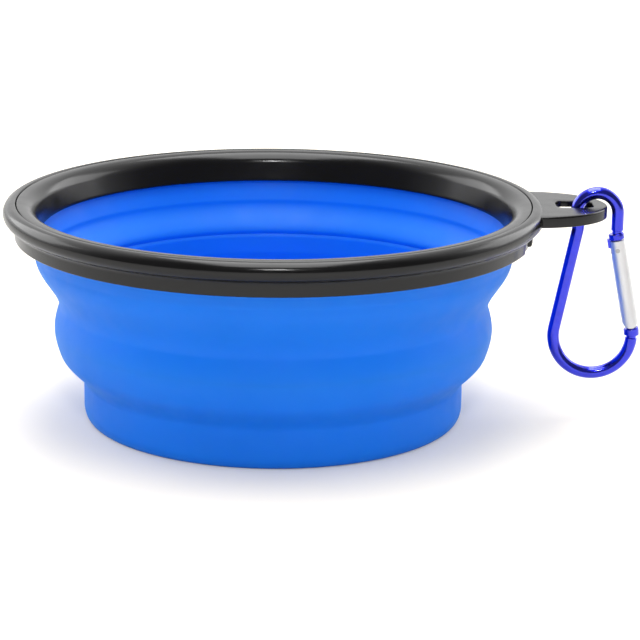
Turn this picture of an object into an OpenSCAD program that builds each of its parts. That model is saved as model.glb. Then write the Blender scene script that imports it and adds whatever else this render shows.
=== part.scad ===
// Collapsible silicone bowl with a clamped two-piece rim, a hanging tab and a spring-gate clip.
// Millimetres. Z is the bowl's axis, z = 0 is its flat underside, and the tab points along +X.

/* [Bowl heights] */
// Height of the straight wall round the base
base_h = 9.5; // [8:0.5:11]
// Height of the lower fold
lower_fold_h = 7; // [6:0.5:8]
// Height of the middle wall
mid_h = 11.5; // [10:0.5:13]
// Height of the upper fold
upper_fold_h = 13; // [11.5:0.5:14]
// Height of the upper wall, up to the flange that the rim clamps
upper_h = 9.1; // [8.5:0.1:10]
// Thickness of the clamped flange
flange_t = 1.4; // [1.2:0.1:1.6]

/* [Bowl widths] */
// Width of the flat underside
foot_d = 90; // [84:0.5:91]
// Height over which the base rounds up from its underside
foot_rise = 3; // [2:0.5:4]
// Outer width of the base wall
base_d = 93; // [92:0.5:95]
// Outer width of the middle wall at its lower edge
mid_low_d = 104.4; // [103:0.2:105]
// Outer width of the middle wall at its upper edge
mid_top_d = 104.6; // [103.4:0.2:105]
// How far the middle wall swells past its two edges
mid_swell = 1.25; // [0.8:0.05:1.4]
// Outer width of the upper wall at its lower edge
upper_d = 116; // [115:0.2:117]

/* [Silicone] */
// Thickness of the floor
floor_t = 2.3; // [1.8:0.1:3]
// Thickness of the stiff walls
wall_t = 1.9; // [1.6:0.1:2.2]
// Thickness left at the fold grooves
hinge_t = 1.4; // [1.1:0.1:1.6]
// Thickness of the neck inside the rim
neck_t = 1.95; // [1.6:0.05:2.1]
// Radius between the floor and the wall
floor_round = 3; // [2:0.5:4]
// How far the inner face leans out up to each inner fold edge
fold_lean_out = 0.7; // [0.4:0.05:1]
// Depth of the groove below each inner fold edge
fold_groove_t = 0.35; // [0.1:0.05:0.4]

/* [Rim] */
// Overall width across the rim
rim_d = 130.8; // [130:0.2:132]
// Distance of the seam in from the rim's widest point
seam_inset = 3.05; // [2.9:0.05:3.2]
// Radius of the rim's outer bead
bead_r = 2.3; // [2.15:0.05:2.4]
// Height of the rim's top above the clamped flange
crown_t = 2; // [1.9:0.05:2.1]
// Radius of the hollow between the bead and the skirt
cove_r = 1.5; // [1.3:0.05:1.6]
// Lean of the skirt inwards on its way down, in degrees
skirt_lean = 7; // [4:1:9]
// Thickness of the skirt at its top
skirt_t = 2.5; // [2.3:0.1:2.7]
// Depth of the skirt below the clamped flange
skirt_drop = 4.1; // [3.8:0.05:4.6]
// Width of the ledge that carries the inner ring
ledge_w = 0.7; // [0.5:0.05:0.9]
// Width of the seam between the two rings
seam_gap = 0.2; // [0.1:0.02:0.3]
// Depth of the inner ring's lip below the clamped flange
lip_drop = 4; // [3.6:0.1:4.4]
// Thickness of the inner ring's lip at its lower edge
lip_t = 1.45; // [1.1:0.05:1.8]
// Lean of the lip away from upright, in degrees
lip_lean = 14; // [10:1:16]
// Radius of the inner ring's shoulder
shoulder_r = 3.6; // [3.2:0.1:3.8]
// Radius of the inner ring's gentle crown
crown_r = 9; // [8:0.5:12]

/* [Tab] */
// Reach of the tab past the rim
tab_reach = 15.4; // [14.4:0.2:17]
// Full width of the tab's oval
tab_w = 29.6; // [26:0.2:32]
// Distance of the tab's top below the rim's top
tab_step = 0.65; // [0.5:0.05:0.9]
// Thickness of the tab's plate
tab_t = 1.5; // [1.2:0.1:1.8]
// Height of the tab's turned-down edge
tab_edge_h = 2.7; // [2.2:0.1:3]
// Width of the tab's turned-down edge
tab_edge_w = 1.3; // [1:0.1:1.5]
// Length of the hanging slot
slot_len = 9; // [8.6:0.1:9.4]
// Width of the hanging slot
slot_w = 7.5; // [6:0.1:8]
// Band of plastic between the slot and the tab's end
slot_band = 3.5; // [3.2:0.1:3.8]
// Corner radius of the slot
slot_round = 2; // [1:0.1:2.6]
// Depth of the two recesses in the skirt below the tab
recess_t = 0.7; // [0.4:0.05:0.9]

/* [Clip] */
// Thickness of the clip's rod
rod_d = 3; // [2.8:0.05:3.1]
// Bend radius of the clip's hook, to the rod's middle
hook_r = 5.05; // [4.9:0.05:5.2]
// How far the hook turns past its left side before it bends back, in degrees
hook_wrap = 19; // [12:1:24]
// Radius of the bend back, to the rod's middle
back_bend_r = 5; // [4:0.5:6.5]
// Bend radius of the clip's wide loop, to the rod's middle
loop_r = 9.65; // [9:0.05:10.5]
// Distance between the centres of the two bends
loop_drop = 30.65; // [29:0.25:33]
// How far the hook's centre lies inside the tab's end
hook_inset = 2.35; // [2.2:0.05:2.5]
// Gap between the hook and the tab's edge that it hangs on
hang_gap = 0.35; // [0.25:0.05:0.5]
// Distance from the hook's centre down to the end of its nose
nose_drop = 6.4; // [6:0.1:7]
// Thickness of the collars at the nose and the hinge
collar_d = 3.8; // [3.6:0.05:4]
// Depth of the grooves beside the collars
groove_t = 0.28; // [0.15:0.01:0.35]
// Length of a groove
groove_w = 0.7; // [0.5:0.05:0.9]
// Length of the nose collar
collar_w = 1.5; // [1.2:0.1:1.8]
// Length of the hinge collar
hinge_collar_w = 1.8; // [1.4:0.1:2.2]

/* [Gate] */
// Thickness of the gate
gate_d = 4; // [3.8:0.05:4.1]
// Gap between the gate's ends and the collars
gate_gap = 0.25; // [0.2:0.05:0.3]
// Thickness of the flat tongues that enter the gate
tongue_t = 1.2; // [1:0.05:1.3]
// Gap between a tongue and its slot, on each side
tongue_gap = 0.2; // [0.15:0.01:0.25]
// Radius of the hinge tongue's round end
cam_r = 1.1; // [1:0.02:1.15]
// Height above the pin's middle of the flat on that round end
cam_h = 1; // [0.95:0.01:1.05]
// Thickness of the hinge pin
hinge_pin_d = 1; // [0.9:0.02:1.1]
// Thickness of the latch pin
latch_pin_d = 1.1; // [0.9:0.02:1.2]
// Play of the hinge pin in the tongue
pin_play = 0.05; // [0.03:0.01:0.08]
// Distance from the gate's top down to the latch pin
latch_drop = 2.3; // [2.1:0.05:2.4]
// Length of the latch tongue
latch_len = 3.8; // [3.6:0.05:4]
// Play of the latch pin in its notch
latch_play = 0.15; // [0.1:0.01:0.2]

/* [Plunger and spring] */
// Width of the bore in the gate
bore_d = 1.7; // [1.66:0.01:1.8]
// Length of the bore past the hinge slot
bore_len = 9; // [8:0.1:12]
// Thickness of the plunger
plunger_d = 1.5; // [1.4:0.01:1.54]
// Length of the plunger's head
plunger_h = 2.2; // [1.8:0.1:2.6]
// Thickness of the plunger's stem
stem_d = 0.7; // [0.6:0.02:0.76]
// Length of the plunger's stem
stem_len = 2.4; // [2:0.1:3]
// Gap between the plunger and the hinge tongue's round end
plunger_gap = 0.05; // [0.04:0.005:0.08]
// Thickness of the spring's wire
wire_d = 0.25; // [0.2:0.01:0.26]
// Width of the spring, to the wire's middle
coil_d = 1.2; // [1.16:0.01:1.24]
// Number of curls in the spring
curls = 10; // [6:1:12]

/* [Hidden] */
$fn = 128;

// Overrun of cuts, points along a fold, points round a small corner and round the tab
over = 0.5;
fold_points = 24;
corner_points = 6;
tab_points = 72;

// Heights of the zones of the silicone, from the floor up
base_top = base_h;
mid_bottom = base_top + lower_fold_h;
mid_top = mid_bottom + mid_h;
upper_bottom = mid_top + upper_fold_h;
flange_z = upper_bottom + upper_h;
flange_top = flange_z + flange_t;
rim_top = flange_top + crown_t;
neck_rise_share = 0.54;
neck_z = mix(upper_bottom, flange_z, neck_rise_share);

// Radii of the rim, from its widest point inwards
rim_r = rim_d / 2;
seam_r = rim_r - seam_inset;
bead_c = [rim_r - bead_r, rim_top - bead_r];
edge_round = 0.3;
flange_gap = 0.2;
recess_wall_r = seam_r - ledge_w;
flange_r = recess_wall_r - flange_gap;
// The bead rolls under as far as this angle below level, in degrees, and hands over to the hollow
bead_under = 70;
cove_c = bead_c + (bead_r + cove_r) * [cos(bead_under), -sin(bead_under)];
cove_end_a = 180 - skirt_lean;
skirt_r = cove_c[0] + cove_r * cos(cove_end_a);
skirt_top_z = cove_c[1] + cove_r * sin(cove_end_a);
skirt_in_r = skirt_r - skirt_t;
skirt_z = flange_z - skirt_drop;
skirt_low_r = skirt_r - (skirt_top_z - skirt_z - edge_round) * tan(skirt_lean);
neck_gap = 0.6;
neck_r = skirt_in_r - neck_gap;
lip_gap = 0.1;
lip_z = flange_z - lip_drop;
lip_back_r = neck_r - neck_t - lip_gap;
lip_in_r = lip_back_r - lip_t;
lip_back_lean_share = 0.6;
lip_back_top_r = lip_back_r + (flange_top - lip_z) * tan(lip_lean) * lip_back_lean_share;
ring_edge_r = seam_r - seam_gap;
// The shoulder of the inner ring hands over to the crown at this angle, in degrees
shoulder_end = 97;
crown_dip = 0.1;
shoulder_c = [lip_in_r + (rim_top - shoulder_r - crown_dip - lip_z) * tan(lip_lean)
    + shoulder_r / cos(lip_lean), rim_top - shoulder_r - crown_dip];
crown_c = shoulder_c - (crown_r - shoulder_r) * [cos(shoulder_end), sin(shoulder_end)];
crown_end_r = ring_edge_r - edge_round;
crown_end_a = acos((crown_end_r - crown_c[0]) / crown_r);
crown_end_z = crown_c[1] + crown_r * sin(crown_end_a);

// Radii of the silicone zones
foot_r = foot_d / 2;
base_r = base_d / 2;
mid_low_r = mid_low_d / 2;
mid_top_r = mid_top_d / 2;
upper_r = upper_d / 2;
base_in_r = base_r - wall_t;
mid_low_in_r = mid_low_r - hinge_t;
mid_top_in_r = mid_top_r - hinge_t;
upper_in_r = upper_r - wall_t;
// How far up a fold its inner fold edge and the end of its turn lie, how wide the groove below that
// edge is, and how soft the outer face turns
inner_start_share = 0.42;
inner_end_share = 0.96;
groove_span_share = 0.045;
lower_soft_share = 0.5;
upper_soft_share = 1;

// The tab's oval reaches inside the rim by this depth, and is cut off inside the bead
tab_root = 3;
tab_cx = rim_r - tab_root;
tab_rx = tab_root + tab_reach;
tab_ry = tab_w / 2;
tab_end = rim_r + tab_reach;
tab_top = rim_top - tab_step;
tab_sink_share = 0.35;
tab_cut_r = seam_r + seam_inset * tab_sink_share;
slot_end = tab_end - slot_band;
slot_start = slot_end - slot_len;
// The recesses below the tab lie between these angles from the tab's middle, in degrees
recess_from = 12;
recess_to = 19.6;

// Centres of the clip's two bends, and the lean of its spine and of its gate, in degrees
rod_r = rod_d / 2;
hook_x = tab_end - hook_inset;
hook_z = tab_top - sqrt(pow(hook_r - rod_r - hang_gap, 2) - pow(hook_inset, 2));
loop_z = hook_z - loop_drop;
hook_c = [hook_x, hook_z];
loop_c = [hook_x, loop_z];
back_c = hook_c - (hook_r + back_bend_r) * [cos(hook_wrap), sin(hook_wrap)];
back_to_loop = loop_c - back_c;
spine_lean = -atan2(back_to_loop[1], back_to_loop[0])
    - acos((back_bend_r + loop_r) / norm(back_to_loop));
spine_a = 180 - spine_lean;
spine_len = sqrt(pow(norm(back_to_loop), 2) - pow(back_bend_r + loop_r, 2));
// The rod swells by this much where its straight spine meets the bends
joint_swell = 0.02;
lap = 0.1;
lap_a = lap / loop_r * 180 / PI;
nose_x = hook_x + hook_r;
nose_z = hook_z - nose_drop;
nose_reach = norm([hook_r, loop_drop - nose_drop]);
gate_lean = atan2(loop_drop - nose_drop, hook_r) - acos(loop_r / nose_reach);
collar_r = collar_d / 2;
groove_r = rod_r - groove_t;
collar_from = gate_lean - hinge_collar_w / loop_r * 180 / PI;
groove_from = collar_from - groove_w / loop_r * 180 / PI;

// The gate's own frame has its origin at the hinge pin and its length along z
gate_r = gate_d / 2;
pin_rise = gate_r + gate_gap;
pin_x = hook_x + loop_r * cos(gate_lean) - pin_rise * sin(gate_lean);
pin_z = loop_z + loop_r * sin(gate_lean) + pin_rise * cos(gate_lean);
gate_len = norm([nose_x - pin_x, nose_z - pin_z]) - gate_gap;
slot_half = tongue_t / 2 + tongue_gap;
hinge_slot_top = cam_r + tongue_gap;
// The latch pin lies this far inwards of the gate's middle; its tongue spans these two reaches
latch_off = 0.4;
latch_z = gate_len - latch_drop;
notch_r = latch_pin_d / 2 + latch_play;
tongue_in = 2.4;
tongue_out = 1;
bore_top = hinge_slot_top + bore_len;
plunger_z = cam_r + plunger_gap;
plunger_tip_share = 0.7;
tip_h_share = 0.2;
tip_h = plunger_d * tip_h_share;
shoulder_z = plunger_z + plunger_h;
spring_z = shoulder_z + wire_d / 2 + plunger_gap;
spring_top = bore_top - wire_d / 2 - plunger_gap;
curl_rings = 8;
wire_sides = 6;
coil_pitch = (spring_top - spring_z) / curls;
echo(spring_least_gap = coil_pitch - wire_d);

// Colours as the eye sees them
silicone_blue = "#2576e6";
rim_black = "#303034";
clip_blue = "#2430c4";
bare_metal = "#dcdcdc";
steel = "#9a9a9e";

function mix(a, b, t) = a + (b - a) * t;
function clamp01(t) = max(0, min(1, t));
function ease(t, soft) = mix(clamp01(t), (1 - cos(180 * clamp01(t))) / 2, soft);
function arc(c, r, from, to, n) = [for (i = [0:n]) let (a = mix(from, to, i / n)) c + r * [cos(a), sin(a)]];
function reversed(points) = [for (i = [len(points) - 1:-1:0]) points[i]];

// Share of the way up a zone
function way(z, low, high) = (z - low) / (high - low);

// Outer radius of the silicone at a height above the foot's rounding
function outer_r(z) =
    z <= base_top ? base_r
    : z <= mid_bottom ? mix(base_r, mid_low_r, ease(way(z, base_top, mid_bottom), lower_soft_share))
    : z <= mid_top ? mix(mid_low_r, mid_top_r, way(z, mid_bottom, mid_top))
        + mid_swell * sin(180 * way(z, mid_bottom, mid_top))
    : z <= upper_bottom ? mix(mid_top_r, upper_r, ease(way(z, mid_top, upper_bottom), upper_soft_share))
    : mix(upper_r, neck_r, clamp01(way(z, upper_bottom, neck_z)));

// Inner radius across one fold: a slight lean with a groove at its top, then a soft turn outwards
function fold_in_r(t, low_r, high_r) =
    t <= inner_start_share
    ? mix(low_r, low_r + fold_lean_out, t / inner_start_share) + fold_groove_t
        * max(0, 1 - abs(t - inner_start_share + groove_span_share) / groove_span_share)
    : mix(low_r + fold_lean_out, high_r, ease(way(t, inner_start_share, inner_end_share), 1));

// Inner radius of the silicone below the rim
function inner_r(z) =
    z <= base_top ? base_in_r
    : z <= mid_bottom ? fold_in_r(way(z, base_top, mid_bottom), base_in_r, mid_low_in_r)
    : z <= mid_top ? mix(mid_low_in_r, mid_top_in_r, way(z, mid_bottom, mid_top))
    : z <= upper_bottom ? fold_in_r(way(z, mid_top, upper_bottom), mid_top_in_r, upper_in_r)
    : mix(upper_in_r, lip_back_r + lip_gap, clamp01(way(z, upper_bottom, lip_z)));

// One zone of the silicone wall, between two heights
module silicone_zone(low, high) {
    outside = [for (i = [0:fold_points]) let (z = mix(low, high, i / fold_points)) [outer_r(z), z]];
    inside = [for (i = [0:fold_points]) let (z = mix(low, high, i / fold_points)) [inner_r(z), z]];
    color(silicone_blue) rotate_extrude() polygon(concat(outside, reversed(inside)));
}

module base_cup() {
    foot = [for (i = [0:corner_points]) let (a = 90 * i / corner_points)
        [mix(foot_r, base_r, sin(a)), foot_rise * (1 - cos(a))]];
    floor_corner = arc([base_in_r - floor_round, floor_t + floor_round], floor_round, 0, -90, corner_points);
    color(silicone_blue) rotate_extrude()
        polygon(concat([[0, 0]], foot, [[base_r, base_top], [base_in_r, base_top]], floor_corner,
            [[0, floor_t]]));
}

module lower_fold() { silicone_zone(base_top, mid_bottom); }

module mid_wall() { silicone_zone(mid_bottom, mid_top); }

module upper_fold() { silicone_zone(mid_top, upper_bottom); }

// The upper wall ends in the flange that lies between the two rings
module upper_wall() {
    color(silicone_blue) rotate_extrude() polygon([
        [upper_r, upper_bottom], [neck_r, neck_z], [neck_r, flange_z], [flange_r, flange_z],
        [flange_r, flange_top], [lip_back_top_r + lip_gap, flange_top], [lip_back_r + lip_gap, lip_z],
        [upper_in_r, upper_bottom]]);
}

// Section of the outer ring: skirt, hollow, bead, shelf for the flange and ledge for the inner ring
module outer_ring_section() {
    cove = arc(cove_c, cove_r, cove_end_a, 180 - bead_under, 2 * corner_points);
    bead = arc(bead_c, bead_r, -bead_under, 90, 3 * corner_points);
    seam_edge = arc([seam_r + edge_round, rim_top - edge_round], edge_round, 90, 180, corner_points);
    foot = arc([skirt_low_r - edge_round, skirt_z + edge_round], edge_round, -90, 0, corner_points);
    polygon(concat(
        [[skirt_in_r, skirt_z]], foot, cove, bead, seam_edge,
        [[seam_r, flange_top], [recess_wall_r, flange_top], [recess_wall_r, flange_z], [skirt_in_r, flange_z]]));
}

// Oval of the tab, drawn in by an inset
module tab_oval(inset) {
    translate([tab_cx, 0]) polygon([for (i = [0:tab_points - 1]) let (a = 360 * i / tab_points)
        [(tab_rx - inset) * cos(a), (tab_ry - inset) * sin(a)]]);
}

module slot_outline() {
    long = slot_len - 2 * slot_round;
    wide = slot_w - 2 * slot_round;
    translate([(slot_start + slot_end) / 2, 0]) {
        square([slot_len, wide], center = true);
        square([long, slot_w], center = true);
        for (x = [-long, long], y = [-wide, wide])
            translate([x / 2, y / 2]) circle(slot_round);
    }
}

module tab() {
    translate([0, 0, tab_top - tab_t]) linear_extrude(tab_t) difference() {
        tab_oval(0);
        slot_outline();
        circle(tab_cut_r);
    }
    translate([0, 0, tab_top - tab_edge_h]) linear_extrude(tab_edge_h - tab_t) difference() {
        tab_oval(0);
        tab_oval(tab_edge_w);
        circle(tab_cut_r);
    }
}

// A shallow recess in the skirt, on one side of the tab
module skirt_recess(side) {
    rotate([0, 0, side > 0 ? recess_from : -recess_to])
        rotate_extrude(angle = recess_to - recess_from) polygon([
            [skirt_low_r - recess_t, skirt_z - over], [skirt_r + over, skirt_z - over],
            [skirt_r + over, skirt_top_z], [skirt_r - recess_t, skirt_top_z]]);
}

module outer_ring() {
    color(rim_black) {
        difference() {
            rotate_extrude() outer_ring_section();
            skirt_recess(1);
            skirt_recess(-1);
        }
        tab();
    }
}

// Section of the inner ring: lip, shoulder, gentle crown and the seam's edge
module inner_ring() {
    shoulder = arc(shoulder_c, shoulder_r, 180 - lip_lean, shoulder_end, 2 * corner_points);
    crown = arc(crown_c, crown_r, shoulder_end, crown_end_a, corner_points);
    edge = arc([crown_end_r, crown_end_z - edge_round], edge_round, 90, 0, corner_points);
    lip_corner = arc([lip_in_r + edge_round, lip_z + edge_round], edge_round, 270, 180 - lip_lean, corner_points);
    color(rim_black) rotate_extrude() polygon(concat(
        [[lip_back_top_r, flange_top], [lip_back_r, lip_z]], lip_corner, shoulder, crown, edge,
        [[ring_edge_r, flange_top]]));
}

// A bent stretch of rod in the clip's plane; angles run from +X towards +Z
module rod_bend(c, bend_r, from, to, r) {
    translate([c[0], 0, c[1]]) rotate([90, 0, 0]) rotate([0, 0, from])
        rotate_extrude(angle = to - from) translate([bend_r, 0]) circle(r);
}

// A slight swelling of the rod where two stretches meet, on a circle round a bend's centre
module rod_joint(c, bend_r, a) {
    translate([c[0] + bend_r * cos(a), 0, c[1] + bend_r * sin(a)]) sphere(rod_r + joint_swell);
}

// Moves a piece from the gate's own frame to its place
module at_gate() {
    translate([pin_x, 0, pin_z]) rotate([0, -gate_lean, 0]) children();
}

// A round piece along Y through a point of the gate's frame
module cross_rod(x, z, r, length) {
    translate([x, 0, z]) rotate([90, 0, 0]) cylinder(r = r, h = length, center = true);
}

// Flat tongue round the hinge pin. Its round end has a flat on it, where the plunger presses
module hinge_tongue() {
    low = pin_rise + over;
    difference() {
        union() {
            translate([-cam_r, -tongue_t / 2, -low]) cube([2 * cam_r, tongue_t, low]);
            cross_rod(0, 0, cam_r, tongue_t);
        }
        translate([-cam_r - over, -tongue_t / 2 - over, cam_h])
            cube([2 * cam_r + 2 * over, tongue_t + 2 * over, cam_r]);
        cross_rod(0, 0, hinge_pin_d / 2 + pin_play, tongue_t + 2 * over);
    }
}

// Flat tongue at the nose, with the notch that holds the latch pin
module latch_tongue() {
    nose = gate_len + gate_gap + over;
    difference() {
        translate([-tongue_in, -tongue_t / 2, nose - over - latch_len])
            cube([tongue_in + tongue_out, tongue_t, latch_len + over]);
        cross_rod(-latch_off, latch_z, notch_r, tongue_t + 2 * over);
        translate([-latch_off - tongue_in, -tongue_t / 2 - over, latch_z - notch_r])
            cube([tongue_in, tongue_t + 2 * over, 2 * notch_r]);
    }
}

module carabiner_body() {
    color(clip_blue) {
        rod_bend(hook_c, hook_r, 0, 180 + hook_wrap, rod_r);
        rod_joint(hook_c, hook_r, 180 + hook_wrap);
        rod_bend(back_c, back_bend_r, -spine_lean, hook_wrap, rod_r);
        rod_joint(back_c, back_bend_r, -spine_lean);
        translate([back_c[0] + back_bend_r * cos(spine_lean), 0, back_c[1] - back_bend_r * sin(spine_lean)])
            rotate([0, -spine_a, 0]) cylinder(r = rod_r, h = spine_len);
        rod_joint(loop_c, loop_r, spine_a);
        rod_bend(loop_c, loop_r, spine_a, 360 + groove_from, rod_r);
        rod_bend(loop_c, loop_r, groove_from - lap_a, collar_from + lap_a, groove_r);
        rod_bend(loop_c, loop_r, collar_from, gate_lean, collar_r);
        translate([nose_x, 0, nose_z + collar_w + groove_w])
            cylinder(r = rod_r, h = nose_drop - collar_w - groove_w);
        translate([nose_x, 0, nose_z + collar_w - groove_w])
            cylinder(r = groove_r, h = 2 * groove_w);
        at_gate() {
            translate([0, 0, gate_len + gate_gap]) cylinder(r = collar_r, h = collar_w);
            hinge_tongue();
            latch_tongue();
        }
    }
}

module gate() {
    color(bare_metal) at_gate() difference() {
        intersection() {
            translate([0, 0, -gate_r]) cylinder(r = gate_r, h = gate_len + gate_r);
            union() {
                cross_rod(0, 0, gate_r, 2 * gate_d);
                translate([-gate_d, -gate_d, 0]) cube([2 * gate_d, 2 * gate_d, gate_len]);
            }
        }
        translate([-gate_d, -slot_half, -gate_d]) cube([2 * gate_d, 2 * slot_half, gate_d + hinge_slot_top]);
        translate([-gate_d, -slot_half, gate_len - latch_len - tongue_gap])
            cube([2 * gate_d, 2 * slot_half, latch_len + gate_d]);
        cross_rod(0, 0, hinge_pin_d / 2, 2 * gate_d);
        cross_rod(-latch_off, latch_z, latch_pin_d / 2, 2 * gate_d);
        translate([0, 0, cam_h]) cylinder(r = bore_d / 2, h = bore_top - cam_h);
    }
}

module hinge_pin() {
    color(steel) at_gate() cross_rod(0, 0, hinge_pin_d / 2, gate_d);
}

module latch_pin() {
    chord = 2 * sqrt(pow(gate_r, 2) - pow(latch_off, 2));
    color(steel) at_gate() cross_rod(-latch_off, latch_z, latch_pin_d / 2, chord);
}

// A head with a chamfered tip next to the hinge tongue, and a stem inside the spring
module plunger() {
    color(steel) at_gate() {
        translate([0, 0, plunger_z]) cylinder(r1 = plunger_d / 2 * plunger_tip_share, r2 = plunger_d / 2, h = tip_h);
        translate([0, 0, plunger_z + tip_h]) cylinder(r = plunger_d / 2, h = plunger_h - tip_h);
        translate([0, 0, shoulder_z]) cylinder(r = stem_d / 2, h = stem_len);
    }
}

// One unbroken helical wire from the plunger's shoulder to the end of the bore
module gate_spring() {
    rings = curls * curl_rings;
    rise_a = atan(coil_pitch / (PI * coil_d));
    wire_points = [for (i = [0:rings]) let (a = 360 * i / curl_rings) for (j = [0:wire_sides - 1])
        let (b = 360 * j / wire_sides, out = wire_d / 2 * cos(b), up = wire_d / 2 * sin(b))
        [(coil_d / 2 + out) * cos(a) + up * sin(rise_a) * sin(a),
            (coil_d / 2 + out) * sin(a) - up * sin(rise_a) * cos(a),
            mix(spring_z, spring_top, i / rings) + up * cos(rise_a)]];
    sides = [for (i = [0:rings - 1], j = [0:wire_sides - 1])
        let (k = i * wire_sides, next = (j + 1) % wire_sides)
        each [[k + j, k + wire_sides + j, k + next], [k + next, k + wire_sides + j, k + wire_sides + next]]];
    start = [for (j = [1:wire_sides - 2]) [0, j, j + 1]];
    last = rings * wire_sides;
    end = [for (j = [1:wire_sides - 2]) [last, last + j + 1, last + j]];
    color(steel) at_gate() polyhedron(wire_points, concat(sides, start, end));
}

base_cup();
lower_fold();
mid_wall();
upper_fold();
upper_wall();
outer_ring();
inner_ring();
carabiner_body();
gate();
hinge_pin();
latch_pin();
plunger();
gate_spring();
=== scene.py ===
"""Looks of the collapsible silicone bowl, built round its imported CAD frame.

The sizes below are in millimetres, at a full scale that is an estimate. They follow the CAD
source, but the outer ring's skirt ends 0.8 mm lower here, as in the photo. Z is the bowl's axis,
the bowl stands on z = 0, and its tab points along +X.
"""

import math

import bpy
import numpy as np
from mathutils import Matrix, Vector


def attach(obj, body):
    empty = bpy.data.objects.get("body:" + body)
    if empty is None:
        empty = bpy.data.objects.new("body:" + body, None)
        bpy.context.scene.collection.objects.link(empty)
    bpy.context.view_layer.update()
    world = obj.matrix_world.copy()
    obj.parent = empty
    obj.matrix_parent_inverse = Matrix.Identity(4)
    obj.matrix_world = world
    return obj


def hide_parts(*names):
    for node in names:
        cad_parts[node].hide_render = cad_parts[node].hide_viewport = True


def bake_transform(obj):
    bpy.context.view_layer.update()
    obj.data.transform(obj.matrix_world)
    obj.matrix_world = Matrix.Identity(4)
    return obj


MM = 0.001

# Camera: its place in metres, the directions that it looks in and holds up, and its lens
CAMERA_PLACE = (0.0, -0.58017, 0.18097)
CAMERA_AHEAD = (0.01888851, 0.96482215, -0.26222485)
CAMERA_UP = (-0.00680719, 0.26238886, 0.96494049)
CAMERA_LENS = 137.77
CAMERA_SENSOR = 36.0

# Lamps: their azimuth from the front, -Y, towards the tab, +X, and their elevation, both in
# degrees; their distance and size in metres; their radiance, and whether they show in reflections
LAMPS = {
    "overhead": (180, 88, 1.0, (0.6, 1.3), 3.5, True),
    "left_back": (-125, 24, 1.0, (0.8, 0.5), 1.8, True),
    "right_back": (125, 24, 1.0, (0.8, 0.5), 1.8, True),
    "left_fill": (-75, 20, 1.0, (0.5, 0.5), 1.8, False),
    "right_fill": (75, 20, 1.0, (0.5, 0.5), 1.2, False),
    "front_key": (2, 9, 1.25, (0.35, 0.3), 7.5, False),
    "front_spot": (1, 36, 1.25, (0.15, 0.07), 60.0, True),
}

# Where the lamps aim, in metres, and the watts that a square metre of lamp takes at radiance 1
LAMP_TARGET = (0, 0, 0.04)
LAMP_WATTS = 4

# World: the Y of the directions between which its brightness grows, and its brightness at both
WORLD_SPAN = (-0.4, 0.5)
WORLD_LEVELS = (0.15, 1.1)

# Floor: half its side, in millimetres, and how far it lies below z = 0, in metres; its colour for
# bounced light, then the paler, warmer colour that the camera sees, which offsets the blue of the
# bounced light in its shade; the distances from the bowl's axis between which its painted glow
# grows, in metres, and the glow at both. The glow is painted light that lifts the lamps' shadows
# far from the bowl and leaves the shade near it.
FLOOR_HALF = 3000.0
FLOOR_DROP = 0.00002
FLOOR_LIT = (0.68, 0.67, 0.65)
FLOOR_SEEN = (0.95, 0.89, 0.77)
GLOW_SPAN = (0.15, 0.6)
GLOW_LEVELS = (0.07, 1.0)

# Fineness: steps round the bowl, steps of a small rounded edge, sides of the clip's rod, rays of
# its hinge tongue, height between the rings of a wall, and halvings in a search for an outline
TURNS = 288
ROUND_STEPS = 6
SIDES = 48
TONGUE_RAYS = 96
WALL_STEP = 0.3
HALVINGS = 40

# Silicone: heights of its zones, radii and thicknesses
FLOOR_T = 2.3
FOOT_RISE = 3.0
BASE_TOP = 9.5
MID_BOTTOM = 16.5
MID_TOP = 28.0
UPPER_BOTTOM = 41.0
NECK_Z = 45.914
FLANGE_Z = 50.1
FLANGE_TOP = 51.5
FOOT_R = 45.0
BASE_R = 46.5
MID_LOW_R = 52.2
MID_TOP_R = 52.3
MID_SWELL = 1.25
UPPER_R = 58.0
NECK_R = 59.811
FLANGE_R = 61.45
FLOOR_ROUND = 3.0
WALL_T = 1.9
HINGE_T = 1.4

# Inner side of a fold: its lean, its groove, and shares of its height
FOLD_LEAN_OUT = 0.7
FOLD_GROOVE_T = 0.35
INNER_START_SHARE = 0.42
INNER_END_SHARE = 0.96
GROOVE_SPAN_SHARE = 0.045

# Seam between the two silicone pieces, with the straight run on each side of it
SEAM_Z = (MID_BOTTOM + MID_TOP) / 2
SEAM_STRAIGHT = 0.35

# Eased walls: the height over which corners are eased, the weights of the heights that are
# averaged for it, and where the walls' points start or stop
OUTSIDE_EASE = 0.45
INSIDE_EASE = 0.2
EASE_WEIGHTS = {-1.0: 1, -0.5: 3, 0.0: 4, 0.5: 3, 1.0: 1}
OUTSIDE_ABOVE_NECK = 1.5
INSIDE_BELOW_BASE_TOP = 2
INSIDE_BELOW_LIP = 0.3

# Rim: outer ring, then inner ring; a centre is given as (r, z). SKIRT_STEP is how far the skirt's
# last ring lies below the cove.
SKIRT_Z = 45.2
SKIRT_TOP_Z = 47.812
SKIRT_STEP = 0.04
SKIRT_LOW_R = 62.725
SKIRT_R = 62.911
SKIRT_IN_R = 60.411
COVE_C = (64.4, 47.629)
COVE_R = 1.5
COVE_FROM = 173.0
BEAD_C = (63.1, 51.2)
BEAD_R = 2.3
BEAD_UNDER = 70.0
RIM_TOP = 53.5
SEAM_R = 62.35
RECESS_WALL_R = 61.65
RING_EDGE_R = 62.15
EDGE_ROUND = 0.3
LIP_Z = 46.1
LIP_IN_R = 56.311
LIP_BACK_R = 57.761
LIP_BACK_TOP_R = 58.569
LIP_GAP = 0.1
LIP_LEAN = 14.0
SHOULDER_C = (60.944, 49.8)
SHOULDER_R = 3.6
SHOULDER_END = 97.0
CROWN_C = (61.602, 44.44)
CROWN_R = 9.0

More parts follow.
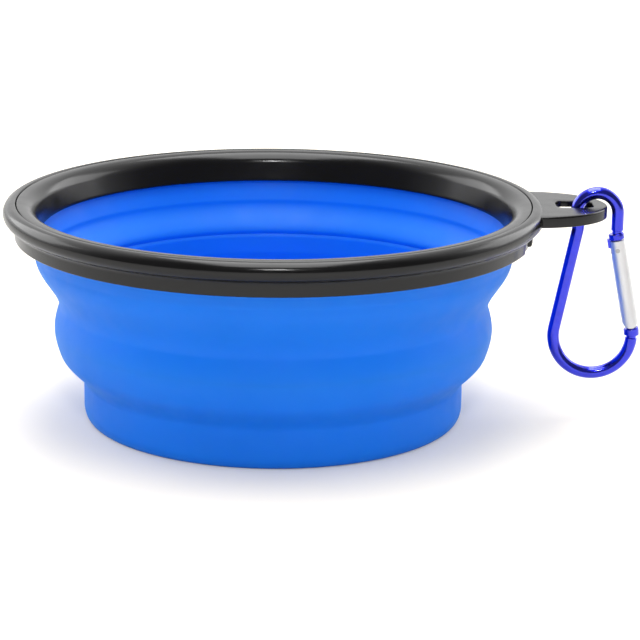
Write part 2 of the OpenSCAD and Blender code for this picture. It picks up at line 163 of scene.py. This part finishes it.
# Recesses in the skirt below the tab: their ends and the ends' softness, in degrees from the tab's
# middle, the depth, how far below the cove they stop, and extra cuts round each end, in degrees
RECESS_FROM = 12.0
RECESS_TO = 19.6
RECESS_EDGE = 0.25
RECESS_T = 0.7
RECESS_STOP = 0.03
RECESS_CUTS = [0.1 * k for k in range(-4, 5)]

# Tab: its oval, its edge and its slot; the reaches are lengths that no outline's ray passes
TAB_C = 62.4
TAB_RX = 18.4
TAB_RY = 14.8
TAB_TOP = 52.85
TAB_T = 1.5
TAB_EDGE_H = 2.7
TAB_EDGE_W = 1.3
TAB_CUT_R = 63.4175
TAB_ROUND = 0.45
TAB_SMALL_ROUND = 0.25
TAB_TOP_SHARES = (0.2, 0.4, 0.6, 0.8)
TAB_REACH = 40.0
SLOT_C = 72.8
SLOT_HALF = (4.5, 3.75)
SLOT_ROUND = 2.0
SLOT_REACH = 12.0

# Clip, in its own plane: X and Z. NOSE_MEET is how deep in the nose's collar the rod and the latch
# tongue meet, GROOVE_SLOPE the length of a groove's side, and COLLAR_FACE_IN how far inside the
# nose collar's radius its end faces start.
HOOK_C = (78.45, 50.678)
HOOK_R = 5.05
HOOK_WRAP = 19.0
BACK_C = (68.9475, 47.4061)
BACK_R = 5.0
SPINE_LEAN = 11.2246
LOOP_C = (78.45, 20.028)
LOOP_R = 9.65
NOSE = (83.5, 44.278)
NOSE_MEET = 0.4
ROD_R = 1.5
GROOVE_R = 1.22
GROOVE_W = 0.7
GROOVE_SLOPE = 0.16
COLLAR_R = 1.9
COLLAR_SOFT = 0.22
COLLAR_FACE_IN = 0.8
NOSE_COLLAR_W = 1.5
HINGE_COLLAR_W = 1.8

# Rings of the rod: along all of it, then within a length of the nose and of the hinge
ROD_ROWS = 460
NOSE_FINE, NOSE_ROWS = 2.4, 40
HINGE_FINE, HINGE_ROWS = 3.2, 110

# Gate, in its own frame: the hinge pin is the origin and its length runs along its Z.
# TONGUE_OVERLAP is how far the hinge tongue goes into its collar.
GATE_LEAN = 11.1648
GATE_PIN = (87.4817, 24.104)
GATE_LEN = 20.313
GATE_GAP = 0.25
PIN_RISE = 2.25
PIN_HOLE_R = 0.55
TONGUE_T = 1.2
TONGUE_OVERLAP = 0.3
TONGUE_REACH = 4.0
CAM_R = 1.1
CAM_H = 1.0
LATCH_LEN = 3.8
LATCH_IN = 2.4
LATCH_TOE = 1.85
LATCH_OUT = 1.0
LATCH_OFF = 0.4
LATCH_Z = 18.013
NOTCH_R = 0.7

# Materials: the part of a noise's range that its effect is spread over
NOISE_RANGE = (0.3, 0.7)


# Small helpers


def ease(t):
    """Soft step from 0 to 1."""
    return (1 - math.cos(math.pi * min(1.0, max(0.0, t)))) / 2


def mix(a, b, t):
    return a + (b - a) * t


def way(z, low, high):
    """Share of the way from low to high."""
    return (z - low) / (high - low)


def arc(centre, r, start, end, steps):
    """Points on an arc; angles in degrees."""
    angles = [math.radians(mix(start, end, i / steps)) for i in range(steps + 1)]
    return [(centre[0] + r * math.cos(a), centre[1] + r * math.sin(a)) for a in angles]


def line(a, b, steps):
    """Points from a to b, both left out."""
    return [(mix(a[0], b[0], i / steps), mix(a[1], b[1], i / steps)) for i in range(1, steps)]


def even_angles(n):
    return [2 * math.pi * i / n for i in range(n)]


def quarter_angles(steps):
    return [math.pi / 2 * i / steps for i in range(steps + 1)]


def rays(n):
    """Even directions all round, as rows of (x, y)."""
    angles = np.array(even_angles(n))
    return np.stack([np.cos(angles), np.sin(angles)], 1)


def ray_hits(level, directions, reach):
    """Distances from the origin at which a level function of (x, y) turns positive."""
    low, high = np.zeros(len(directions)), np.full(len(directions), reach)
    for _ in range(HALVINGS):
        mid = (low + high) / 2
        out = level(directions[:, 0] * mid, directions[:, 1] * mid) > 0
        high, low = np.where(out, mid, high), np.where(out, low, mid)
    return (low + high) / 2


# Mesh helpers


def make_object(name, verts, faces, sharp=35.0):
    """A smooth-shaded mesh object from points in millimetres."""
    mesh = bpy.data.meshes.new(name)
    mesh.from_pydata([tuple(MM * c for c in v) for v in verts], [], faces)
    mesh.update()
    mesh.validate()
    mesh.shade_smooth()
    mesh.set_sharp_from_angle(angle=math.radians(sharp))
    obj = bpy.data.objects.new(name, mesh)
    bpy.context.scene.collection.objects.link(obj)
    return obj


def tube_faces(rows, cols, closed_rows):
    """Quads between rows of cols points that each form a ring."""
    faces = []
    for i in range(rows if closed_rows else rows - 1):
        a, b = i * cols, ((i + 1) % rows) * cols
        for j in range(cols):
            k = (j + 1) % cols
            faces.append((a + j, a + k, b + k, b + j))
    return faces


def capped_tube(rows, cols):
    """Faces of a tube of rows rings with flat ends."""
    last = (rows - 1) * cols
    ends = [tuple(range(cols - 1, -1, -1)), tuple(range(last, last + cols))]
    return tube_faces(rows, cols, False) + ends


def lathe(profile, angles, shift=None):
    """Turns a closed profile of (r, z) round the Z axis. Points on the axis become single ones.
    shift(r, z, angle) may move a point out or in."""
    verts, rings = [], []
    for r, z in profile:
        if r == 0:
            rings.append([len(verts)] * len(angles))
            verts.append((0.0, 0.0, z))
            continue
        rings.append(range(len(verts), len(verts) + len(angles)))
        for a in angles:
            q = r + (shift(r, z, a) if shift else 0.0)
            verts.append((q * math.cos(a), q * math.sin(a), z))
    faces = []
    for i, low in enumerate(rings):
        high = rings[(i + 1) % len(rings)]
        for j in range(len(angles)):
            k = (j + 1) % len(angles)
            face = tuple(dict.fromkeys((low[j], low[k], high[k], high[j])))
            if len(face) > 2:
                faces.append(face)
    return verts, faces


def merged(*meshes):
    verts, faces = [], []
    for v, f in meshes:
        start = len(verts)
        verts += v
        faces += [tuple(start + i for i in face) for face in f]
    return verts, faces


# Silicone


def outer_r(z):
    """Outer radius of the silicone above its foot."""
    if z <= BASE_TOP:
        return BASE_R
    if z <= MID_BOTTOM:
        t = way(z, BASE_TOP, MID_BOTTOM)
        return mix(BASE_R, MID_LOW_R, mix(t, ease(t), 0.5))
    if z <= MID_TOP:
        t = way(z, MID_BOTTOM, MID_TOP)
        return mix(MID_LOW_R, MID_TOP_R, t) + MID_SWELL * math.sin(math.pi * t)
    if z <= UPPER_BOTTOM:
        return mix(MID_TOP_R, UPPER_R, ease(way(z, MID_TOP, UPPER_BOTTOM)))
    return mix(UPPER_R, NECK_R, min(1.0, way(z, UPPER_BOTTOM, NECK_Z)))


def fold_in_r(t, low_r, high_r):
    """Inner radius across a fold: a slight lean with a groove at its top, then a turn outwards."""
    edge_r = low_r + FOLD_LEAN_OUT
    if t > INNER_START_SHARE:
        return mix(edge_r, high_r, ease(way(t, INNER_START_SHARE, INNER_END_SHARE)))
    groove = max(0.0, 1 - abs(t - INNER_START_SHARE + GROOVE_SPAN_SHARE) / GROOVE_SPAN_SHARE)
    return mix(low_r, edge_r, t / INNER_START_SHARE) + FOLD_GROOVE_T * groove


def inner_r(z):
    """Inner radius of the silicone below the rim."""
    low_in = MID_LOW_R - HINGE_T
    top_in = MID_TOP_R - HINGE_T
    if z <= BASE_TOP:
        return BASE_R - WALL_T
    if z <= MID_BOTTOM:
        return fold_in_r(way(z, BASE_TOP, MID_BOTTOM), BASE_R - WALL_T, low_in)
    if z <= MID_TOP:
        return mix(low_in, top_in, way(z, MID_BOTTOM, MID_TOP))
    if z <= UPPER_BOTTOM:
        return fold_in_r(way(z, MID_TOP, UPPER_BOTTOM), top_in, UPPER_R - WALL_T)
    return mix(UPPER_R - WALL_T, LIP_BACK_R + LIP_GAP, min(1.0, way(z, UPPER_BOTTOM, LIP_Z)))


def wall_points(radius, low, high, soft):
    """Points up a wall whose corners are eased over a height."""
    total = sum(EASE_WEIGHTS.values())
    n = max(1, round((high - low) / WALL_STEP))
    points = []
    for i in range(n + 1):
        z = mix(low, high, i / n)
        r = sum(w * radius(z + share * soft) for share, w in EASE_WEIGHTS.items()) / total
        points.append((r, z))
    return points


def outside(low, high):
    return wall_points(outer_r, low, high, OUTSIDE_EASE)


def inside(low, high):
    return wall_points(inner_r, low, high, INSIDE_EASE)


def lower_profile():
    """Floor, base wall, lower fold and the lower half of the middle wall."""
    foot = [(mix(FOOT_R, BASE_R, math.sin(a)), FOOT_RISE * (1 - math.cos(a)))
            for a in quarter_angles(steps=12)]
    low_seam = SEAM_Z - SEAM_STRAIGHT
    seam_r = outer_r(SEAM_Z)
    wall = outside(FOOT_RISE, low_seam)[1:-1] + [(seam_r, low_seam), (seam_r, SEAM_Z)]
    back = [(inner_r(SEAM_Z), SEAM_Z)] + inside(BASE_TOP - INSIDE_BELOW_BASE_TOP, low_seam)[::-1]
    base_in = BASE_R - WALL_T
    corner = arc((base_in - FLOOR_ROUND, FLOOR_T + FLOOR_ROUND), FLOOR_ROUND, 0, -90, steps=10)
    floor = line(corner[-1], (0, FLOOR_T), steps=8) + [(0, FLOOR_T)]
    under = [(0, 0)] + line((0, 0), (FOOT_R, 0), steps=8)
    return under + foot + wall + back + corner + floor


def upper_profile():
    """Upper half of the middle wall, upper fold, upper wall and the clamped flange."""
    high_seam = SEAM_Z + SEAM_STRAIGHT
    seam_r = outer_r(SEAM_Z)
    wall = [(seam_r, SEAM_Z), (seam_r, high_seam)]
    wall += outside(high_seam, NECK_Z + OUTSIDE_ABOVE_NECK)[1:]
    flange = [(NECK_R, FLANGE_Z), (FLANGE_R, FLANGE_Z), (FLANGE_R, FLANGE_TOP),
              (LIP_BACK_TOP_R + LIP_GAP, FLANGE_TOP), (LIP_BACK_R + LIP_GAP, LIP_Z)]
    back = inside(high_seam, LIP_Z - INSIDE_BELOW_LIP)[::-1]
    return wall + flange + back + [(inner_r(SEAM_Z), SEAM_Z)]


def make_silicone(material):
    angles = even_angles(TURNS)
    lower = make_object("silicone_lower", *lathe(lower_profile(), angles))
    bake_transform(lower)
    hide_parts("base_cup", "lower_fold", "mid_wall")
    upper = make_object("silicone_upper", *lathe(upper_profile(), angles))
    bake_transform(upper)
    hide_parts("upper_fold", "upper_wall")
    for piece in (lower, upper):
        piece.data.materials.append(material)


# Rim


def recess(r, z, angle):
    """How far the skirt's outer face goes in beside the tab."""
    if z > SKIRT_TOP_Z - RECESS_STOP:
        return 0.0
    face = mix(SKIRT_LOW_R, SKIRT_R, way(z, SKIRT_Z + EDGE_ROUND, SKIRT_TOP_Z)) - RECESS_T
    if r <= face:
        return 0.0
    turn = abs((math.degrees(angle) + 180) % 360 - 180)
    into = min(way(turn, RECESS_FROM - RECESS_EDGE, RECESS_FROM + RECESS_EDGE),
               way(turn, RECESS_TO + RECESS_EDGE, RECESS_TO - RECESS_EDGE))
    return (face - r) * ease(into)


def rim_angles():
    """Angles round the rim, closer together at the ends of the recesses."""
    marks = {i * 360 / TURNS for i in range(TURNS)}
    for side in (RECESS_FROM, RECESS_TO):
        for cut in RECESS_CUTS:
            marks |= {side + cut, 360 - (side + cut)}
    return [math.radians(m) for m in sorted(marks)]


def outer_ring_profile():
    foot = arc((SKIRT_LOW_R - EDGE_ROUND, SKIRT_Z + EDGE_ROUND), EDGE_ROUND, -90, 0, ROUND_STEPS)
    skirt = line(foot[-1], (SKIRT_R, SKIRT_TOP_Z), steps=6)
    step = [(SKIRT_R, SKIRT_TOP_Z - SKIRT_STEP)]
    cove = arc(COVE_C, COVE_R, COVE_FROM, 180 - BEAD_UNDER, steps=16)
    bead = arc(BEAD_C, BEAD_R, -BEAD_UNDER, 90, steps=48)[1:]
    seam = arc((SEAM_R + EDGE_ROUND, RIM_TOP - EDGE_ROUND), EDGE_ROUND, 90, 180, ROUND_STEPS)
    shelf = [(SEAM_R, FLANGE_TOP), (RECESS_WALL_R, FLANGE_TOP), (RECESS_WALL_R, FLANGE_Z),
             (SKIRT_IN_R, FLANGE_Z)]
    return [(SKIRT_IN_R, SKIRT_Z)] + foot + skirt + step + cove + bead + seam + shelf


def inner_ring_profile():
    corner = arc((LIP_IN_R + EDGE_ROUND, LIP_Z + EDGE_ROUND), EDGE_ROUND, 270, 180 - LIP_LEAN,
                 ROUND_STEPS)
    shoulder = arc(SHOULDER_C, SHOULDER_R, 180 - LIP_LEAN, SHOULDER_END, steps=28)
    crown_end_r = RING_EDGE_R - EDGE_ROUND
    crown_end = math.degrees(math.acos((crown_end_r - CROWN_C[0]) / CROWN_R))
    crown = arc(CROWN_C, CROWN_R, SHOULDER_END, crown_end, steps=8)[1:]
    edge = arc((crown_end_r, crown[-1][1] - EDGE_ROUND), EDGE_ROUND, 90, 0, ROUND_STEPS)[1:]
    lip = line(corner[-1], shoulder[0], steps=8)
    back = [(LIP_BACK_TOP_R, FLANGE_TOP), (LIP_BACK_R, LIP_Z)]
    return back + corner + lip + shoulder + crown + edge + [(RING_EDGE_R, FLANGE_TOP)]


def tab_outline(directions, inset):
    """The tab's oval drawn in by an inset, cut off inside the rim's bead."""
    def level(x, y):
        oval = ((x + SLOT_C - TAB_C) / (TAB_RX - inset)) ** 2 + (y / (TAB_RY - inset)) ** 2 - 1
        root = TAB_CUT_R + inset - np.hypot(x + SLOT_C, y)
        return np.maximum(oval, root)
    return ray_hits(level, directions, TAB_REACH)


def slot_outline(directions, outset):
    """The slot's rounded rectangle, widened by an outset."""
    def level(x, y):
        qx = np.abs(x) - SLOT_HALF[0] + SLOT_ROUND
        qy = np.abs(y) - SLOT_HALF[1] + SLOT_ROUND
        flat = np.minimum(np.maximum(qx, qy), 0)
        return np.hypot(np.maximum(qx, 0), np.maximum(qy, 0)) + flat - SLOT_ROUND - outset
    return ray_hits(level, directions, SLOT_REACH)


def tab_mesh():
    """The tab: plate with rounded edges, turned-down rim and slot, as rings round the slot."""
    directions = rays(TURNS)
    bottom, under = TAB_TOP - TAB_EDGE_H, TAB_TOP - TAB_T
    soft, small = TAB_ROUND, TAB_SMALL_ROUND
    quarter = quarter_angles(ROUND_STEPS)
    rings = [(slot_outline(directions, 0.0), under)]
    rings += [(slot_outline(directions, small * (1 - math.cos(a))),
               TAB_TOP - small + small * math.sin(a)) for a in quarter]
    slot_edge, oval_edge = rings[-1][0], tab_outline(directions, soft)
    rings += [(slot_edge + (oval_edge - slot_edge) * share, TAB_TOP) for share in TAB_TOP_SHARES]
    rings += [(tab_outline(directions, soft * (1 - math.sin(a))),
               TAB_TOP - soft + soft * math.cos(a)) for a in quarter]
    rings += [(tab_outline(directions, small * (1 - math.cos(a))),
               bottom + small - small * math.sin(a)) for a in quarter]
    rings += [(tab_outline(directions, TAB_EDGE_W - small * (1 - math.sin(a))),
               bottom + small - small * math.cos(a)) for a in quarter]
    rings.append((tab_outline(directions, TAB_EDGE_W), under))
    verts = [(SLOT_C + x * far, y * far, z)
             for outline, z in rings for (x, y), far in zip(directions, outline)]
    return verts, tube_faces(len(rings), TURNS, True)


def make_rim(material):
    outer = make_object("rim_outer", *lathe(outer_ring_profile(), rim_angles(), recess), sharp=50)
    inner = make_object("rim_inner", *lathe(inner_ring_profile(), even_angles(TURNS)), sharp=50)
    tab = make_object("hanging_tab", *tab_mesh(), sharp=50)
    for piece, node in ((outer, "outer_ring"), (tab, "outer_ring"), (inner, "inner_ring")):
        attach(piece, "rim")
        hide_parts(node)
        piece.data.materials.append(material)


# Clip


def clip_path():
    """Points of the rod from its nose to its hinge, with the path's length at each."""
    start = (NOSE[0], NOSE[1] + NOSE_MEET)
    rise = [start] + line(start, (NOSE[0], HOOK_C[1]), steps=12)
    hook = arc(HOOK_C, HOOK_R, 0, 180 + HOOK_WRAP, steps=72)
    back = arc(BACK_C, BACK_R, HOOK_WRAP, -SPINE_LEAN, steps=16)[1:]
    loop = arc(LOOP_C, LOOP_R, 180 - SPINE_LEAN, 360 + GATE_LEAN, steps=140)
    points = np.array(rise + hook + back + line(back[-1], loop[0], steps=30) + loop)
    length = np.concatenate([[0], np.cumsum(np.hypot(*np.diff(points, axis=0).T))])
    return points, length


def sweep(points, radii):
    """A round rod along points of the clip's plane, closed at both ends."""
    ahead = np.gradient(points, axis=0)
    ahead /= np.linalg.norm(ahead, axis=1)[:, None]
    verts = []
    for (x, z), (ax, az), r in zip(points, ahead, radii):
        for a in even_angles(SIDES):
            out = r * math.cos(a)
            verts.append((x - az * out, r * math.sin(a), z + ax * out))
    return verts, capped_tube(len(points), SIDES)


def step_up(s, at):
    """Soft step of the rod's radius along its length."""
    t = np.clip((s - at) / GROOVE_SLOPE + 0.5, 0, 1)
    return (1 - np.cos(np.pi * t)) / 2


def rod_mesh():
    """The rod with a groove beside each collar, and the collar that its hinge end carries."""
    points, length = clip_path()
    end = length[-1]
    dense = np.unique(np.concatenate([
        np.linspace(0, end, ROD_ROWS), np.linspace(0, NOSE_FINE, NOSE_ROWS),
        np.linspace(end - HINGE_FINE, end, HINGE_ROWS)]))
    path = np.stack([np.interp(dense, length, points[:, k]) for k in (0, 1)], 1)
    nose = step_up(dense, NOSE_COLLAR_W - NOSE_MEET + GROOVE_W)
    hinge = step_up(end - HINGE_COLLAR_W - GROOVE_W, dense)
    radii = GROOVE_R + (ROD_R - GROOVE_R) * np.minimum(nose, hinge)
    into = dense - (end - HINGE_COLLAR_W)
    near = np.minimum(into, HINGE_COLLAR_W - into)
    corner = np.clip(1 - near / COLLAR_SOFT, 0, 1)
    collar = COLLAR_R - COLLAR_SOFT * (1 - np.sqrt(1 - corner ** 2))
    return sweep(path, np.where(into >= 0, collar, radii))


def from_gate(x, y, z):
    """A point of the gate's frame, in the bowl's."""
    lean = math.radians(GATE_LEAN)
    ax, az = -math.sin(lean), math.cos(lean)
    return GATE_PIN[0] + x * az + z * ax, y, GATE_PIN[1] - x * ax + z * az


def nose_collar_mesh():
    """A short collar with rounded edges, square to the gate."""
    start, soft = GATE_LEN + GATE_GAP, COLLAR_SOFT
    section = [(0.0, COLLAR_R - COLLAR_FACE_IN)]
    section += [(soft * (1 - math.cos(a)), COLLAR_R - soft + soft * math.sin(a))
                for a in quarter_angles(ROUND_STEPS)]
    section += [(NOSE_COLLAR_W - s, r) for s, r in reversed(section)]
    verts = [from_gate(r * math.cos(a), r * math.sin(a), start + s)
             for s, r in section for a in even_angles(SIDES)]
    return verts, capped_tube(len(section), SIDES)


def hinge_tongue_mesh():
    """The flat tongue round the hinge pin, with the pin's hole and the flat on its round end."""
    def level(x, z):
        head = np.maximum(np.hypot(x, z) - CAM_R, z - CAM_H)
        stem = np.maximum(np.maximum(np.abs(x) - CAM_R, z), -z - PIN_RISE - TONGUE_OVERLAP)
        return np.minimum(head, stem)
    directions = rays(TONGUE_RAYS)
    outline = ray_hits(level, directions, TONGUE_REACH)
    hole = np.full(TONGUE_RAYS, PIN_HOLE_R)
    rings = [(hole, -0.5), (hole, 0.5), (outline, 0.5), (outline, -0.5)]
    verts = [from_gate(x * far, side * TONGUE_T, z * far)
             for fars, side in rings for (x, z), far in zip(directions, fars)]
    return verts, tube_faces(len(rings), TONGUE_RAYS, True)


def latch_tongue_mesh():
    """The flat tongue at the nose, with the notch that holds the latch pin."""
    collar = GATE_LEN + GATE_GAP
    top, low = collar + NOSE_MEET, collar - LATCH_LEN
    notch = arc((-LATCH_OFF, LATCH_Z), NOTCH_R, -90, 90, steps=16)
    outline = [(-LATCH_TOE, low), (LATCH_OUT, low), (LATCH_OUT, top), (-LATCH_IN, top),
               (-LATCH_IN, LATCH_Z + NOTCH_R)] + notch[::-1] + [(-LATCH_TOE, LATCH_Z - NOTCH_R)]
    verts = [from_gate(x, side * TONGUE_T, z) for side in (-0.5, 0.5) for x, z in outline]
    return verts, capped_tube(2, len(outline))


def make_clip(cad_nodes, blue, bare, steel):
    """The clip's body. The gate and the small parts in it are shown by their CAD nodes."""
    body = make_object("clip_body", *merged(
        rod_mesh(), nose_collar_mesh(), hinge_tongue_mesh(), latch_tongue_mesh()), sharp=50)
    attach(body, "carabiner")
    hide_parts("carabiner_body")
    body.data.materials.append(blue)
    for name in ("gate", "hinge_pin", "latch_pin", "plunger", "gate_spring"):
        node = cad_nodes[name]
        node.data.materials.clear()
        node.data.materials.append(bare if name in ("gate", "hinge_pin") else steel)


# Materials


def new_material(name):
    material = bpy.data.materials.new(name)
    material.use_nodes = True
    nodes, links = material.node_tree.nodes, material.node_tree.links
    return material, nodes, links, nodes["Principled BSDF"]


def noise(nodes, links, scale, detail=3.0, stretch=None):
    """A noise texture over the object's own coordinates, in features per metre."""
    source = nodes.new("ShaderNodeTexCoord").outputs["Object"]
    if stretch:
        mapping = nodes.new("ShaderNodeMapping")
        mapping.inputs["Scale"].default_value = stretch
        links.new(source, mapping.inputs["Vector"])
        source = mapping.outputs["Vector"]
    texture = nodes.new("ShaderNodeTexNoise")
    texture.inputs["Scale"].default_value = scale
    texture.inputs["Detail"].default_value = detail
    links.new(source, texture.inputs["Vector"])
    return texture.outputs["Fac"]


def spread(nodes, links, value, source, target, smooth=False):
    """Maps a value from one range to another, and holds it within the second."""
    node = nodes.new("ShaderNodeMapRange")
    if smooth:
        node.interpolation_type = "SMOOTHSTEP"
    for socket, number in zip(("From Min", "From Max", "To Min", "To Max"), (*source, *target)):
        node.inputs[socket].default_value = number
    links.new(value, node.inputs["Value"])
    return node.outputs["Result"]


def two_tone(nodes, links, factor, first, second):
    node = nodes.new("ShaderNodeMix")
    node.data_type = "RGBA"
    node.inputs["A"].default_value = (*first, 1)
    node.inputs["B"].default_value = (*second, 1)
    links.new(factor, node.inputs["Factor"])
    return node.outputs["Result"]


def bump(nodes, links, value, strength, distance):
    node = nodes.new("ShaderNodeBump")
    node.inputs["Strength"].default_value = strength
    node.inputs["Distance"].default_value = distance
    links.new(value, node.inputs["Height"])
    return node.outputs["Normal"]


def finish_material(name, colours, colour_scale, rough, rough_scale, grain, fixed, stretch=None):
    """A material with clouded colour, uneven roughness and a fine grain. grain is its scale,
    strength and depth in metres, and fixed holds the values that are the same all over."""
    material, nodes, links, shader = new_material(name)
    clouds = noise(nodes, links, colour_scale, stretch=stretch)
    tone = two_tone(nodes, links, spread(nodes, links, clouds, NOISE_RANGE, (0, 1)), *colours)
    links.new(tone, shader.inputs["Base Color"])
    wear = spread(nodes, links, noise(nodes, links, rough_scale), NOISE_RANGE, rough)
    links.new(wear, shader.inputs["Roughness"])
    grain_scale, strength, depth = grain
    texture = noise(nodes, links, grain_scale, detail=2.0, stretch=stretch)
    links.new(bump(nodes, links, texture, strength, depth), shader.inputs["Normal"])
    for socket, value in fixed.items():
        shader.inputs[socket].default_value = value
    return material


def silicone_material():
    return finish_material(
        "silicone_blue",
        colours=((0.0013, 0.168, 0.755), (0.0023, 0.186, 0.815)), colour_scale=28.0,
        rough=(0.48, 0.6), rough_scale=160.0, grain=(2600.0, 0.12, 0.00004),
        fixed={"IOR": 1.36, "Subsurface Weight": 0.2, "Subsurface Radius": (0.3, 0.6, 1.0),
               "Subsurface Scale": 0.0025, "Sheen Weight": 0.08, "Sheen Roughness": 0.35,
               "Sheen Tint": (0.3, 0.95, 1.0, 1)})


def rim_material():
    return finish_material(
        "rim_black_plastic",
        colours=((0.0022, 0.0020, 0.0022), (0.0036, 0.0034, 0.0037)), colour_scale=60.0,
        rough=(0.17, 0.23), rough_scale=220.0, grain=(900.0, 0.04, 0.00004),
        fixed={"IOR": 1.46})


def anodised_material():
    return finish_material(
        "blue_anodised_aluminium",
        colours=((0.004, 0.010, 0.68), (0.008, 0.020, 0.78)), colour_scale=300.0,
        rough=(0.16, 0.25), rough_scale=900.0, grain=(2500.0, 0.05, 0.00002),
        fixed={"Metallic": 1.0, "Coat Weight": 1.0, "Coat Roughness": 0.08, "Coat IOR": 1.7})


def metal_material(name, colours, rough):
    """Bare metal with marks drawn out along its length."""
    return finish_material(
        name, colours, colour_scale=500.0, rough=rough, rough_scale=400.0,
        grain=(900.0, 0.02, 0.00002), fixed={"Metallic": 1.0}, stretch=(1.0, 1.0, 0.08))


# Stage


def make_camera():
    ahead, up = Vector(CAMERA_AHEAD).normalized(), Vector(CAMERA_UP).normalized()
    right = ahead.cross(up).normalized()
    turn = Matrix((right, right.cross(ahead), -ahead)).transposed()
    data = bpy.data.cameras.new("photo_camera")
    data.lens, data.sensor_width = CAMERA_LENS, CAMERA_SENSOR
    camera = bpy.data.objects.new("photo_camera", data)
    camera.matrix_world = Matrix.Translation(CAMERA_PLACE) @ turn.to_4x4()
    bpy.context.scene.collection.objects.link(camera)
    bpy.context.scene.camera = camera


def softbox(name, azimuth, elevation, distance, size, radiance, glossy):
    """A lamp panel that faces the bowl."""
    a, e = math.radians(azimuth), math.radians(elevation)
    place = Vector((math.sin(a) * math.cos(e), -math.cos(a) * math.cos(e), math.sin(e))) * distance
    data = bpy.data.lights.new(name, "AREA")
    data.shape = "RECTANGLE"
    data.size, data.size_y = size
    data.energy = radiance * LAMP_WATTS * size[0] * size[1]
    lamp = bpy.data.objects.new(name, data)
    lamp.location = place + Vector(LAMP_TARGET)
    lamp.rotation_euler = (-place).to_track_quat("-Z", "Y").to_euler()
    lamp.visible_glossy = glossy
    bpy.context.scene.collection.objects.link(lamp)


def make_world():
    """White to the camera; a studio that is pale behind the bowl and dim behind the camera."""
    world = bpy.data.worlds.new("studio")
    world.use_nodes = True
    nodes, links = world.node_tree.nodes, world.node_tree.links
    seen, lit = nodes["Background"], nodes.new("ShaderNodeBackground")
    for node in (seen, lit):
        node.inputs["Color"].default_value = (1, 1, 1, 1)
    seen.inputs["Strength"].default_value = 1.0
    parts = nodes.new("ShaderNodeSeparateXYZ")
    links.new(nodes.new("ShaderNodeTexCoord").outputs["Generated"], parts.inputs["Vector"])
    level = spread(nodes, links, parts.outputs["Y"], WORLD_SPAN, WORLD_LEVELS, smooth=True)
    links.new(level, lit.inputs["Strength"])
    pick = nodes.new("ShaderNodeMixShader")
    links.new(nodes.new("ShaderNodeLightPath").outputs["Is Camera Ray"], pick.inputs["Fac"])
    links.new(lit.outputs["Background"], pick.inputs[1])
    links.new(seen.outputs["Background"], pick.inputs[2])
    links.new(pick.outputs["Shader"], nodes["World Output"].inputs["Surface"])
    bpy.context.scene.world = world


def make_floor():
    """A pale floor. To the camera it also glows, the more the further it is from the bowl."""
    corners = [(x * FLOOR_HALF, y * FLOOR_HALF, 0) for x, y in ((-1, -1), (1, -1), (1, 1), (-1, 1))]
    floor = make_object("floor", corners, [(0, 1, 2, 3)])
    floor.location.z = -FLOOR_DROP
    material, nodes, links, shader = new_material("white_floor")
    shader.inputs["Roughness"].default_value = 0.9
    shader.inputs["Specular IOR Level"].default_value = 0.0
    # Painted: the camera sees a paler, warmer floor than it bounces, offsetting the blue in its
    # shade
    seen = nodes.new("ShaderNodeLightPath").outputs["Is Camera Ray"]
    paint = two_tone(nodes, links, seen, FLOOR_LIT, FLOOR_SEEN)
    links.new(paint, shader.inputs["Base Color"])
    # Painted light: a glow to the camera that lifts the lamps' shadows far from the bowl
    reach = nodes.new("ShaderNodeVectorMath")
    reach.operation = "LENGTH"
    links.new(nodes.new("ShaderNodeTexCoord").outputs["Object"], reach.inputs[0])
    far = spread(nodes, links, reach.outputs["Value"], GLOW_SPAN, GLOW_LEVELS, smooth=True)
    share = nodes.new("ShaderNodeMath")
    share.operation = "MULTIPLY"
    links.new(seen, share.inputs[0])
    links.new(far, share.inputs[1])
    glow = nodes.new("ShaderNodeEmission")
    glow.inputs["Color"].default_value = (1, 1, 1, 1)
    links.new(share.outputs["Value"], glow.inputs["Strength"])
    total = nodes.new("ShaderNodeAddShader")
    links.new(shader.outputs["BSDF"], total.inputs[0])
    links.new(glow.outputs["Emission"], total.inputs[1])
    links.new(total.outputs["Shader"], nodes["Material Output"].inputs["Surface"])
    floor.data.materials.append(material)


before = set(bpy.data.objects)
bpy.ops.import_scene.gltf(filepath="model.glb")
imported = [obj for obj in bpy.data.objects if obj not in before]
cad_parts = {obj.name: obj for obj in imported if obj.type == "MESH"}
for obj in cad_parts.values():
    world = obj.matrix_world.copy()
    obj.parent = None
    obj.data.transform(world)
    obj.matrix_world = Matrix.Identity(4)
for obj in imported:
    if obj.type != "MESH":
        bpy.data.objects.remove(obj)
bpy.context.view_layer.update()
bpy.context.scene.view_settings.view_transform = "Standard"
make_camera()
make_world()
make_floor()
for lamp_name, lamp_values in LAMPS.items():
    softbox(lamp_name, *lamp_values)
make_silicone(silicone_material())
make_rim(rim_material())
make_clip(
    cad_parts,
    anodised_material(),
    metal_material("bare_aluminium", ((0.86, 0.86, 0.87), (0.92, 0.92, 0.93)), (0.42, 0.50)),
    metal_material("plain_steel", ((0.42, 0.42, 0.44), (0.55, 0.55, 0.57)), (0.25, 0.35)),
)
